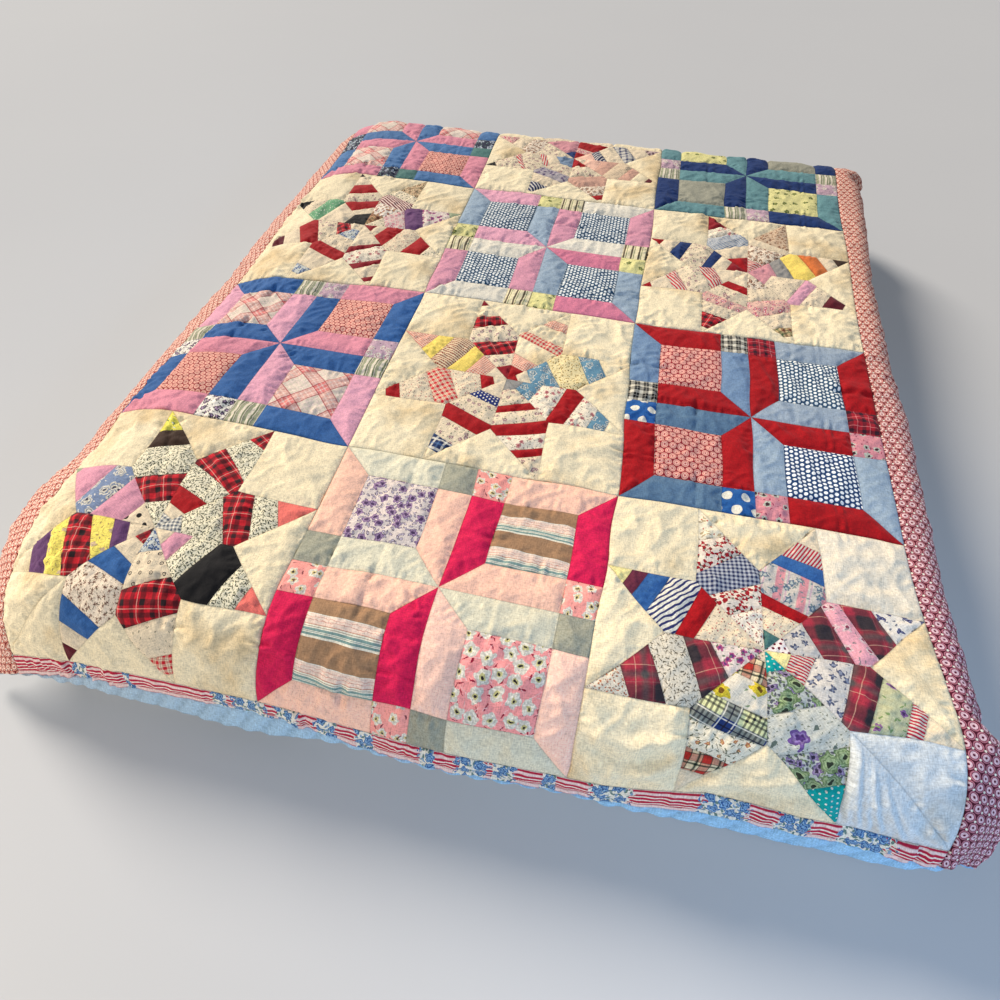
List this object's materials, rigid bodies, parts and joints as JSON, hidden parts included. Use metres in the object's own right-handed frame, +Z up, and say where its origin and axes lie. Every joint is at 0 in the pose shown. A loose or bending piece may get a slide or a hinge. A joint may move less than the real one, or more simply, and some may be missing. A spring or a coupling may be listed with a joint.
{
  "type": "patchwork quilt on a mattress",
  "caption": "Patchwork quilt of star and framed-square blocks with ring-print and striped borders, lying over the rounded edges of a plain mattress.",
  "frame": {"origin": "middle of the whole object's footprint, on the floor plane that the mattress rests on", "axes": "+X to the quilt's right side seen from its foot, +Y from the foot to the head, +Z up"},
  "size_m": [1.7738, 2.0128, 0.253],
  "materials": {
    "patchwork": "matt cotton, pieced and quilted",
    "ring_print": "matt cotton, printed with rings",
    "rose_stripe": "matt cotton, printed with stripes and roses",
    "backing_cloth": "matt cotton, plain",
    "ticking": "matt woven ticking"
  },
  "bodies": {
    "root": {"quilt_top": "patchwork", "border_left": "ring_print", "border_right": "ring_print", "border_head": "rose_stripe", "border_foot": "rose_stripe", "backing": "backing_cloth", "mattress": "ticking"}
  },
  "joints": []
}
